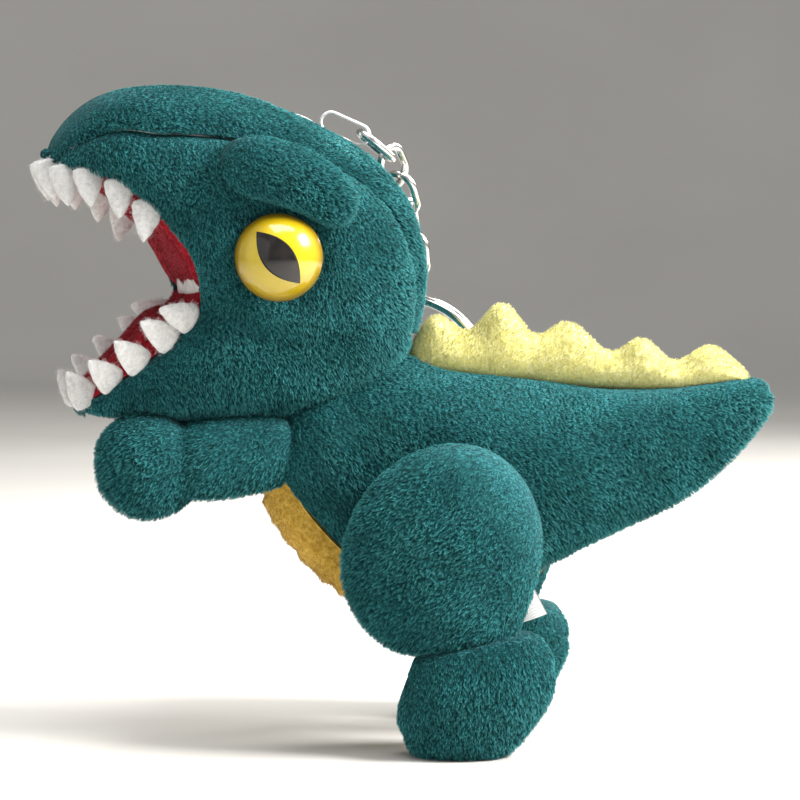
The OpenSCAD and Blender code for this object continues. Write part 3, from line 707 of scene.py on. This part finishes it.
def tooth_row(name, rows, blunt, width, seed):
    verts, faces = [], []
    for k, row in enumerate(rows):
        for side in (1, -1):
            at, axes = place_tooth(row, side)
            own = bumps(np.array([k * 9.7, side * 5.3, 0.0]), 1.0, seed)
            g = petal(TOOTH_H + 0.35 * own, width, TOOTH_T, blunt)
            q = g.reshape(-1, 3) @ axes.T + at
            rings, around = g.shape[:2]
            rough = [bumps(q, 0.9, seed + k), bumps(q, 0.9, seed + 9 + k), bumps(q, 0.9, seed + 17)]
            q = q + 0.12 * np.stack(rough, -1)
            base = sum(len(v) for v in verts)
            verts.append(q)
            for i in range(rings - 1):
                for j in range(around):
                    a, b = base + i * around + j, base + i * around + (j + 1) % around
                    faces.append([a, b, b + around, a + around])
            faces.append([base + j for j in range(around)][::-1])
            faces.append([base + (rings - 1) * around + j for j in range(around)])
    obj = make_object(f"{name}_felt", turned(np.concatenate(verts)), faces, felt)
    mark(obj, "pile", np.ones(len(obj.data.vertices)))
    pile(obj, felt_pile, 9000, 0.7, (0, 0, 0), seed, 0.022, 0.0, 5, 0.9)
    return settle(obj, "toy", [name])


tooth_row("upper_teeth", [0.2, 1.2, 2.1, 3.2, 4.2], 1.5, 5.4, 61)
tooth_row("lower_teeth", [17.2, 15.7, 14.4, 13.2, 11.9], 1.7, 5.4, 71)

# ---- brow flaps
BROW_AT, BROW_HALF = (-22.8, -21.0, 91.8), (11.2, 5.6, 5.6)


def brow_field(p):
    pad = ellipsoid(p, BROW_AT, BROW_HALF, -24, -8, 2.2)
    along = p[..., 0] - BROW_AT[0]
    below = (p[..., 2] - BROW_AT[2]) + 0.42 * along + 4.0 + 0.015 * along ** 2
    return soft_max(pad, -below, 1.0)


for side, sign in SIDES.items():
    obj = solid(f"brow_{side}_plush", brow_field, (-36, -27, 84), (-9, -9, 103), 0.42, teal, 83)
    co = np.array([v.co for v in obj.data.vertices]) / MM
    moved = turned(co, sign) * MM
    obj.data.vertices.foreach_set("co", moved.ravel())
    if sign == -1:
        obj.data.flip_normals()
    pile(obj, teal_pile, 20000, PILE, (0.7, 0, -0.45), 21 + sign)
    settle(obj, "toy", [f"brow_{side}"])

# ---------------------------------------------------------------- eyes
EYE_R = (EYE_D ** 2 / 4 + EYE_H ** 2) / (2 * EYE_H)
STEM_R, STEM_LEN = 1.6, 10.5


# Axes of the left eye as columns: forward-back, up and out.
EYE_AXES = np.stack([[-EYE_OUT[1], EYE_OUT[0], 0], [0, 0, 1.0], EYE_OUT], 1)


def lathe(profile, around):
    a = np.linspace(0, 2 * np.pi, around, endpoint=False)
    p = np.array(profile)
    return np.stack([p[:, :1] * np.cos(a), p[:, :1] * np.sin(a), np.repeat(p[:, 1:], around, 1)], -1)


def eye_profile():
    top = math.asin(EYE_D / 2 / EYE_R)
    dome = [[EYE_R * math.sin(a), EYE_R * math.cos(a) - EYE_R + EYE_H] for a in np.linspace(top, 0.004, 40)]
    stem = [[0.02, -STEM_LEN], [STEM_R - 0.5, -STEM_LEN], [STEM_R - 0.1, -STEM_LEN + 0.6],
            [STEM_R, -STEM_LEN + 1]]
    for k in range(3):
        z = -STEM_LEN + 2 + 1.2 * k
        stem += [[STEM_R, z - 0.3], [STEM_R + 0.25, z], [STEM_R + 0.25, z + 0.4], [STEM_R, z + 0.6]]
    rim = [[STEM_R, -0.7], [EYE_D / 2 - 0.9, -0.6], [EYE_D / 2 - 0.25, -0.5], [EYE_D / 2, -0.2]]
    return stem + rim + dome


for side, sign in SIDES.items():
    g = lathe(eye_profile(), 96)
    rings, around = g.shape[:2]
    faces = []
    for i in range(rings - 1):
        for j in range(around):
            a, b = i * around + j, i * around + (j + 1) % around
            faces.append([a, b, b + around, a + around])
    faces.append(list(range(around))[::-1])
    faces.append([(rings - 1) * around + j for j in range(around)])
    q = g.reshape(-1, 3) @ EYE_AXES.T + EYE_AT
    facing = faces if sign == 1 else [f[::-1] for f in faces]
    obj = make_object(f"eye_{side}_dome", turned(q, sign), facing, eye_yellow)
    rim = np.clip(np.linalg.norm(g.reshape(-1, 3)[:, :2], axis=1) / (EYE_D / 2), 0, 1)
    layer = obj.data.attributes.new("rim", "FLOAT", "POINT")
    layer.data.foreach_set("value", rim.astype(np.float32))
    settle(obj, "toy", [f"eye_{side}"])

    tall, wide, tilt = 5.3, 2.5, math.radians(40)
    rows, cols = 40, 16
    lens = []
    for i in range(rows + 1):
        v = tall * math.sin(math.pi * (i / rows - 0.5))
        half = wide * (1 - (v / tall) ** 2)
        lens.append([[half * (2 * j / cols - 1), v] for j in range(cols + 1)])
    lens = np.array(lens)
    x = lens[..., 0] * math.cos(tilt) - lens[..., 1] * math.sin(tilt)
    y = lens[..., 0] * math.sin(tilt) + lens[..., 1] * math.cos(tilt)
    z = np.sqrt((EYE_R + 0.09) ** 2 - x ** 2 - y ** 2) - EYE_R + EYE_H
    p = np.stack([x, y, z], -1)
    n = np.stack([x, y, z - EYE_H + EYE_R], -1) / (EYE_R + 0.09)
    flat = np.array([1, sign, 1])
    where = turned((p @ EYE_AXES.T + EYE_AT) * flat)
    normal = turned((n @ EYE_AXES.T) * flat + [NECK_X, 0, 0]) - turned(np.array([NECK_X, 0.0, 0.0]))
    obj = shell(f"pupil_{side}_lens", where, normal, 0.08, pupil_black, False)
    settle(obj, "toy", [f"pupil_{side}"])
    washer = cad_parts[f"eye_washer_{side}"]
    washer.data.materials.clear()
    washer.data.materials.append(washer_white)

# ---------------------------------------------------------------- body
BODY_STEP = 10
body_rows = refine(BODY, BODY_STEP)
body_row = np.arange(len(body_rows)) / BODY_STEP
belly = np.maximum(refine(np.array(BELLY_DEG, float)[:, None], BODY_STEP)[:, 0], 0)
belly[body_row > BELLY_END] = 0
CHANNEL = 2.6  # spacing of the stitched lines across the belly


def body_panel(name, keep, first, last, columns, shape, mat, mirror=1):
    sections = body_rows[keep]
    p = panel_grid(sections, first[keep], last[keep], columns)
    return shell(name, *shaped(sections, p, body_row[keep], shape, mirror), 0.9, mat)


# The chest swells over the sewn end of each arm.
SHOULDER_SWELL, SWELL_HIGH, SWELL_R = np.array([-15.0, 49.0]), 4.2, 8.0


def flank_shape(seed):
    def shape(p, d, row):
        thin = np.interp(row, [0, 7, 10, 11.5, 12], [1, 0.9, 0.6, 0.2, 0.0])
        out = (lumps(p, seed, 0.4, 0.14) - FUR_ROOM) * thin
        near = np.linalg.norm(p[..., [0, 2]] - SHOULDER_SWELL, axis=-1)
        out += SWELL_HIGH * np.exp(-((near / SWELL_R) ** 2.5))
        out -= seam(p, d["last"], 0.8 * thin, 2.2, 0.2, seed)
        out -= seam(p, d["first"], 0.9 * thin, 2.0, 0.2, seed + 5)
        return out
    return shape


def belly_shape(p, d, row):
    edge = smoothstep(np.minimum(d["first"], d["last"]), 0, 3.5) * smoothstep(d["end"], 0, 6)
    ridge = np.abs(np.sin(math.pi * d["top"] / CHANNEL)) ** 0.7
    out = (0.6 + 1.0 * ridge) * edge + lumps(p, 97, 0.15, 0.1)
    return out - seam(p, d["first"], 0.5, 1.0, 0.1) - seam(p, d["last"], 0.5, 1.0, 0.1)


every = np.arange(len(body_row))
for side, sign in SIDES.items():
    obj = body_panel(f"body_side_{side}_plush", every, belly + SEAM, np.full(len(belly), 180 - SEAM), 84,
                     flank_shape(101 if sign == 1 else 109), teal, sign)
    pile(obj, teal_pile, 90000, PILE, (0.6, 0, -0.6), 31 + sign)
    settle(obj, "toy", [f"body_side_{side}"])
keep = every[body_row <= BELLY_END]
obj = body_panel("belly_panel_plush", keep, -belly, belly, 70, belly_shape, gold)
pile(obj, gold_pile, 12000, 0.6, (0.3, 0, -0.3), 35, 0.035, 0.0, 6)
settle(obj, "toy", ["belly_panel"])

# ---- back spikes
SPIKE_LINE = [
    (1.2, 59.0), (1.2, 64.9), (5.5, 70.9), (11.3, 66.4), (16.9, 73.2), (22.5, 65.5), (28.3, 70.0),
    (34.8, 63.2), (40.3, 67.0), (45.5, 61.2), (51.8, 65.8), (57.9, 60.2), (57.4, 58.4), (43.0, 57.2),
    (20.0, 58.2), (8.0, 59.4),
]


def rounded(line, times):
    """A closed outline with its corners cut off, over and over."""
    for _ in range(times):
        ahead = line[1:] + line[:1]
        line = [(f * a[0] + g * b[0], f * a[1] + g * b[1])
                for a, b in zip(line, ahead) for f, g in ((0.8, 0.2), (0.2, 0.8))]
    return line


SPIKE_LINE = rounded(SPIKE_LINE, 2)
SPIKE_FULL = 2.3  # half the thickness of the strip where it is fullest


def outline_depth(p, line):
    """How far inside a closed outline in the side view each point is; negative outside."""
    q = p[..., [0, 2]]
    best = near_line(p, line + line[:1])
    inside = np.zeros(q.shape[:-1], bool)
    for a, b in zip(line, line[1:] + line[:1]):
        crosses = (a[1] > q[..., 1]) != (b[1] > q[..., 1])
        with np.errstate(divide="ignore", invalid="ignore"):
            at = (b[0] - a[0]) * (q[..., 1] - a[1]) / (b[1] - a[1]) + a[0]
        inside ^= crosses & (q[..., 0] < at)
    return np.where(inside, best, -best)


def spike_field(p):
    depth = outline_depth(p, SPIKE_LINE)
    full = SPIKE_FULL * (1 - np.exp(-np.maximum(depth, 0) / 1.5)) + 0.35
    return soft_max(np.abs(p[..., 1]) - full, -depth - 0.3, 1.2) * 0.8


obj = solid("back_spikes_plush", spike_field, (-1, -4, 55), (60, 4, 75), 0.36, lemon, 121)
pile(obj, lemon_pile, 40000, 0.6, (0.3, 0, 0.3), 41, 0.06, 0.1, 4)
settle(obj, "toy", ["back_spikes"])


# ---------------------------------------------------------------- arms and legs
def mirrored(obj, sign, back=0.0):
    """Moves a left piece to the right side, and back by that much."""
    if sign == -1:
        co = np.empty(len(obj.data.vertices) * 3)
        obj.data.vertices.foreach_get("co", co)
        co = co.reshape(-1, 3) * [1, -1, 1] + [back * MM, 0, 0]
        obj.data.vertices.foreach_set("co", co.ravel())
        obj.data.flip_normals()
    return obj


def arm_field(p):
    upper = ellipsoid(p, (-27.0, -14.4, 48.0), (11.5, 5.8, 6.4), 6, 18, 2.6)
    paw = ellipsoid(p, (-40.4, -16.6, 46.6), (7.9, 6.5, 8.4), 16, 0, 2.2)
    return soft_min(upper, paw, 0.7)


THIGH_AT, THIGH_HALF, THIGH_TILT = (7.0, 33.0), (17.4, 15.2), math.radians(58)
HIP_Y, THIGH_T = 15.4, 12.5
FOOT_Y = 20.8
STRIDE = 5.0  # how far the right leg stands behind the left one


def ankle(p):
    """Height above the sewn line between thigh and foot."""
    return (p[..., 2] - 16.9 - 0.20 * (p[..., 0] - 3.3)) / 1.02


def thigh_field(p):
    x, z = p[..., 0] - THIGH_AT[0], p[..., 2] - THIGH_AT[1]
    c, s = math.cos(THIGH_TILT), math.sin(THIGH_TILT)
    u, v = (x * c + z * s) / THIGH_HALF[0], (-x * s + z * c) / THIGH_HALF[1]
    y = p[..., 1] + HIP_Y + 0.38 * THIGH_T
    w = np.abs(y) / (0.62 * THIGH_T)
    r = ((u ** 2 + v ** 2) ** 1.2 + w ** 2.4) ** (1 / 2.4)
    pad = (r - 1) * 0.62 * THIGH_T
    calf = ellipsoid(p, (11.0, -FOOT_Y - 0.4, 26.0), (8.2, 6.2, 14.0), -6, 0, 2.5)
    return soft_max(soft_max(soft_min(pad, calf, 3.0), p[..., 1] + HIP_Y, 1.2), -ankle(p), 1.4)


def foot_field(p):
    boot = ellipsoid(p, (12.4, -FOOT_Y, 10.0), (13.4, 8.4, 8.7), 38, 0, 2.3)
    shaft = ellipsoid(p, (11.3, -FOOT_Y - 0.2, 13.0), (8.8, 7.0, 13.0), 0, 0, 2.7)
    cut = soft_max(soft_min(boot, shaft, 3.0), ankle(p) + 0.15, 1.8)
    return soft_max(cut, 0.05 - p[..., 2], 1.6)


def foot_seam(p):
    off = np.abs(p[..., 2] - 7.7 - 0.43 * (p[..., 0] - 9.9)) / 1.09
    return -0.7 * np.exp(-((off / 1.1) ** 1.3)) * smoothstep(p[..., 2], 1, 4)


PAD = 1.6  # how far the fill lies inside the outside of a limb


def limb(name, field, lo, hi, step, seed, side, back, extra=None):
    """The skin of a limb and its fill, on one side."""
    sign = SIDES[side]
    skin = mirrored(solid(f"{name}_{side}_plush", field, lo, hi, step, teal, seed + sign, extra), sign, back)
    inside = solid(f"{name}_{side}_fibre", lambda p: field(p) + PAD, lo, hi, 0.9, fibre_fill, seed + 3)
    return skin, mirrored(inside, sign, back)


for side, sign in SIDES.items():
    arm, arm_fill = limb("arm", arm_field, (-50, -25, 35), (-14, -9, 57), 0.5, 131, side, 0)
    pile(arm, teal_pile, 28000, PILE, (-0.6, 0, -0.5), 45 + sign)
    settle(arm, f"arm_{side}", [f"arm_outer_{side}", f"arm_inner_{side}"])
    settle(arm_fill, f"arm_{side}", [f"arm_stuffing_{side}"])
    thigh, thigh_fill = limb("thigh", thigh_field, (-14, -31, 13), (29, -13, 53), 0.55, 141, side, STRIDE)
    pile(thigh, teal_pile, 56000, PILE, (-0.5, 0, -0.6), 49 + sign)
    settle(thigh, f"leg_{side}", [f"thigh_{side}"])
    settle(thigh_fill, f"leg_{side}", [f"thigh_stuffing_{side}"])
    foot, foot_fill = limb("foot", foot_field, (-4, -31, -1), (29, -9, 26), 0.5, 151, side, STRIDE, foot_seam)
    pile(foot, teal_pile, 36000, PILE, (0.1, 0, -0.8), 53 + sign)
    settle(foot, f"leg_{side}", [f"foot_{side}"])
    settle(foot_fill, f"leg_{side}", [f"foot_stuffing_{side}"])


# ---------------------------------------------------------------- stuffing
def stuffing_piece(name, body, inset=0.9):
    """Fibre fill: the CAD solid, drawn in by inset and made lumpy."""
    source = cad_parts[name]
    obj = bpy.data.objects.new(f"{name}_fibre", source.data.copy())
    put(obj)
    remesh = obj.modifiers.new("remesh", "REMESH")
    remesh.mode = "VOXEL"
    remesh.voxel_size = 1.1 * MM
    smooth = obj.modifiers.new("smooth", "SMOOTH")
    smooth.iterations = 6
    graph = bpy.context.evaluated_depsgraph_get()
    mesh = bpy.data.meshes.new_from_object(obj.evaluated_get(graph))
    obj.modifiers.clear()
    obj.data = mesh
    count = len(mesh.vertices)
    co, no = np.empty(count * 3), np.empty(count * 3, np.float32)
    mesh.vertices.foreach_get("co", co)
    mesh.vertex_normals.foreach_get("vector", no)
    co, no = co.reshape(-1, 3) / MM, no.reshape(-1, 3)
    co = co + no * (-inset + 0.35 * bumps(co, 2.2, 171) + 0.2 * bumps(co, 1.1, 173))[:, None]
    mesh.vertices.foreach_set("co", (co * MM).ravel())
    mesh.polygons.foreach_set("use_smooth", [True] * len(mesh.polygons))
    mesh.materials.clear()
    mesh.materials.append(fibre_fill)
    settle(obj, body, [name])


stuffing_piece("head_stuffing", "toy")
stuffing_piece("body_stuffing", "toy", 2.4)


# ---------------------------------------------------------------- label, ribbon, chain and ring
def sweep(name, path, side_dirs, section, mat, closed):
    """A section (points across: sideways, up) carried along a path."""
    path, side_dirs = np.array(path, float), np.array(side_dirs, float)
    if closed:
        tangent = np.roll(path, -1, 0) - np.roll(path, 1, 0)
    else:
        tangent = np.gradient(path, axis=0)
    tangent /= np.linalg.norm(tangent, axis=1, keepdims=True)
    side_dirs = side_dirs - tangent * np.sum(side_dirs * tangent, 1, keepdims=True)
    side_dirs /= np.linalg.norm(side_dirs, axis=1, keepdims=True)
    up = np.cross(tangent, side_dirs)
    section = np.array(section, float)
    n, m = len(path), len(section)
    p = path[:, None] + side_dirs[:, None] * section[None, :, :1] + up[:, None] * section[None, :, 1:]
    faces = []
    for i in range(n if closed else n - 1):
        for j in range(m):
            a, b = i * m + j, i * m + (j + 1) % m
            c, d = (i + 1) % n * m + (j + 1) % m, (i + 1) % n * m + j
            faces.append([a, b, c, d])
    if not closed:
        faces.append(list(range(m))[::-1])
        faces.append([(n - 1) * m + j for j in range(m)])
    return make_object(name, p.reshape(-1, 3), faces, mat)


def oval_section(wide, high, power, n):
    a = np.linspace(0, 2 * np.pi, n, endpoint=False)
    c, s = np.cos(a), np.sin(a)
    return np.stack([wide / 2 * np.sign(c) * np.abs(c) ** (2 / power),
                     high / 2 * np.sign(s) * np.abs(s) ** (2 / power)], 1)


# Care label: blank satin, curling a little.
LABEL_Y, LABEL_T = -5.1, 0.3
LABEL = np.array([[[15.4, 23.2], [21.6, 26.3]], [[17.6, 18.4], [24.4, 20.9]]])
v, u = np.meshgrid(np.linspace(0, 1, 41), np.linspace(0, 1, 31), indexing="ij")
xz = ((1 - u)[..., None] * ((1 - v)[..., None] * LABEL[0, 0] + v[..., None] * LABEL[1, 0])
      + u[..., None] * ((1 - v)[..., None] * LABEL[0, 1] + v[..., None] * LABEL[1, 1]))
curl = LABEL_Y - 0.7 * v ** 2 + 0.25 * np.sin(5 * u + 1) * v
p = np.stack([xz[..., 0], curl, xz[..., 1]], -1)
facing = np.broadcast_to([0.0, -1.0, 0.0], p.shape)
label = shell("care_label_satin", p, grid_normals(p, facing), LABEL_T, satin, False)
settle(label, "label", ["care_label"])

# Ribbon loop on the crown, a little slack, and the tab that is sewn down.
LOOP_AT, LOOP_DIVE = np.array([-13.2, 0, 102.9]), math.radians(24)
LOOP_LEN, LOOP_HIGH, RIBBON_W, RIBBON_T = 9.0, 3.8, 2.0, 0.5
TAB_LEN, TAB_RISE, TAB_SPACE = 3.9, 0.25, 0.7
LOOP_ROLL = math.radians(5)  # the soft ribbon leans a little towards the left side
DOWN = np.array([math.cos(LOOP_DIVE), 0, -math.sin(LOOP_DIVE)])
RISE = np.array([math.sin(LOOP_DIVE), 0, math.cos(LOOP_DIVE)])
ACROSS = np.array([0.0, 1.0, 0.0])
leaning_rise = RISE * math.cos(LOOP_ROLL) - ACROSS * math.sin(LOOP_ROLL)
leaning_side = ACROSS * math.cos(LOOP_ROLL) + RISE * math.sin(LOOP_ROLL)
bend = (LOOP_HIGH - RIBBON_T) / 2
straight = LOOP_LEN - LOOP_HIGH


def stadium_line(bend, straight, n):
    """Evenly spaced points round a stadium about its middle."""
    a = np.linspace(0, 2 * np.pi, 4000, endpoint=False)
    x = bend * np.cos(a) + np.where(np.cos(a) >= 0, straight / 2, -straight / 2)
    z = bend * np.sin(a)
    p = np.stack([x, z], 1)
    loop = np.vstack([p, p[:1]])
    s = np.concatenate([[0], np.cumsum(np.linalg.norm(np.diff(loop, axis=0), axis=1))])
    want = np.linspace(0, s[-1], n, endpoint=False)
    return np.stack([np.interp(want, s, loop[:, 0]), np.interp(want, s, loop[:, 1])], 1)


oval = stadium_line(bend, straight, 110)
path = LOOP_AT + DOWN * (oval[:, :1] + LOOP_LEN / 2) + leaning_rise * oval[:, 1:]
loop = sweep("hanging_loop_ribbon", path, np.tile(leaning_side, (len(path), 1)),
             oval_section(RIBBON_W, RIBBON_T, 5, 20), ribbon, True)
settle(loop, "ribbon_loop", ["hanging_loop"])
t = np.linspace(0, 1, 24)
tab_path = LOOP_AT + [TAB_LEN * (math.cos(LOOP_DIVE) - 1) - TAB_SPACE, 0, TAB_RISE + RIBBON_T / 2]
tab_path = tab_path + [-TAB_LEN * math.cos(LOOP_DIVE), 0, 0] + DOWN * TAB_LEN * t[:, None]
tab_path = tab_path + RISE * 0.2 * np.sin(np.pi * t)[:, None]
tab = sweep("ribbon_tab_ribbon", tab_path, np.tile(ACROSS, (24, 1)),
            oval_section(RIBBON_W, RIBBON_T, 5, 20), ribbon, False)
settle(tab, "toy", ["ribbon_tab"])

# Chain of oval wire links, each closed at a butt joint, and a split ring of two turns.
WIRE, LINK_LEN, LINK_W, WIRE_GAP = 1.3, 8.8, 6.4, 0.25
REACH = LINK_LEN - WIRE
TURNS = [(50, 29), (65, 43), (68, 54), (73, 66), (72, 76), (60, 82)]
RING_TURN, RING_ROLL = (70, 70), 8
RING_D, RING_WIRE, RING_GAP, TURN_SHARE = 25.0, 1.3, 0.85, 0.4
LINK_ROLL, LINK_TWIST = -60, -5


def frame_of(turn, roll):
    heading, dive, own = (math.radians(v) for v in (*turn, roll))
    return np.array(Matrix.Rotation(heading, 3, "Z") @ Matrix.Rotation(dive, 3, "Y")
                    @ Matrix.Rotation(own, 3, "X"))


hang = LOOP_AT + DOWN * (LOOP_LEN - RIBBON_T / 2)
for k, turn in enumerate(TURNS, 1):
    axes = frame_of(turn, LINK_ROLL + LINK_TWIST * k + (k % 2) * 90)
    oval = stadium_line((LINK_W - WIRE) / 2, LINK_LEN - LINK_W, 96)
    oval = np.roll(oval, -24, 0)
    joint = np.vstack([oval, oval[:1]])
    joint[0, 0] -= 0.07
    joint[-1, 0] += 0.07
    local = np.stack([joint[:, 0] + REACH / 2 - WIRE - WIRE_GAP, joint[:, 1], 0 * joint[:, 0]], 1)
    link = sweep(f"chain_link_{k}_wire", hang + local @ axes.T, np.tile(axes[:, 2], (len(local), 1)),
                 oval_section(WIRE, WIRE, 2, 24), nickel, False)
    settle(link, f"link_{k}", [f"chain_link_{k}"])
    hang = hang + frame_of(turn, 0)[:, 0] * (REACH - WIRE - WIRE_GAP)
axes = frame_of(RING_TURN, RING_ROLL)
turn_r = (RING_D - RING_WIRE) / 2
drop = turn_r - RING_WIRE / 2 - WIRE / 2 - RING_GAP
END_AT = math.radians(62)  # where round the ring its two ends lie
a = np.linspace(0, 4 * np.pi - 0.06, 300)
climb = smoothstep(a, 2 * np.pi - 0.55, 2 * np.pi + 0.55) * 2 - 1
height = climb * RING_WIRE * TURN_SHARE * 0.98
local = np.stack([drop + turn_r * np.cos(a + END_AT), turn_r * np.sin(a + END_AT), height], 1)
ring = sweep("split_ring_coil", hang + local @ axes.T, np.tile(axes[:, 2], (len(local), 1)),
             oval_section(RING_WIRE * 0.78, RING_WIRE, 3, 24), nickel, False)
settle(ring, "key_ring", ["split_ring"])

# ---------------------------------------------------------------- floor and backdrop
curve = [(1.2 + 0.8 * math.sin(x), 0.8 - 0.8 * math.cos(x)) for x in np.linspace(0.1, 1.57, 12)]
line = [(-2.0, 0.0), (1.2, 0.0)] + curve
line.append((2.0, 4.0))
verts = [(x, y, z) for y, z in line for x in (-4.0, 4.0)]
faces = [[2 * i, 2 * i + 1, 2 * i + 3, 2 * i + 2] for i in range(len(line) - 1)]
mesh = bpy.data.meshes.new("sweep_floor")
mesh.from_pydata(verts, [], faces)
mesh.polygons.foreach_set("use_smooth", [True] * len(mesh.polygons))
floor = bpy.data.objects.new("sweep_floor", mesh)
put(floor)
mat, tree, bsdf = new_material("pale_floor")
mottle = noise(tree, object_coords(tree), 6, 4, 0.5)
paint(tree, bsdf, "Base Color", mottle, (0.3, (0.56, 0.55, 0.53)), (0.7, (0.60, 0.59, 0.57)))
paint(tree, bsdf, "Roughness", mottle, (0.3, grey(0.55)), (0.7, grey(0.65)))
mesh.materials.append(mat)
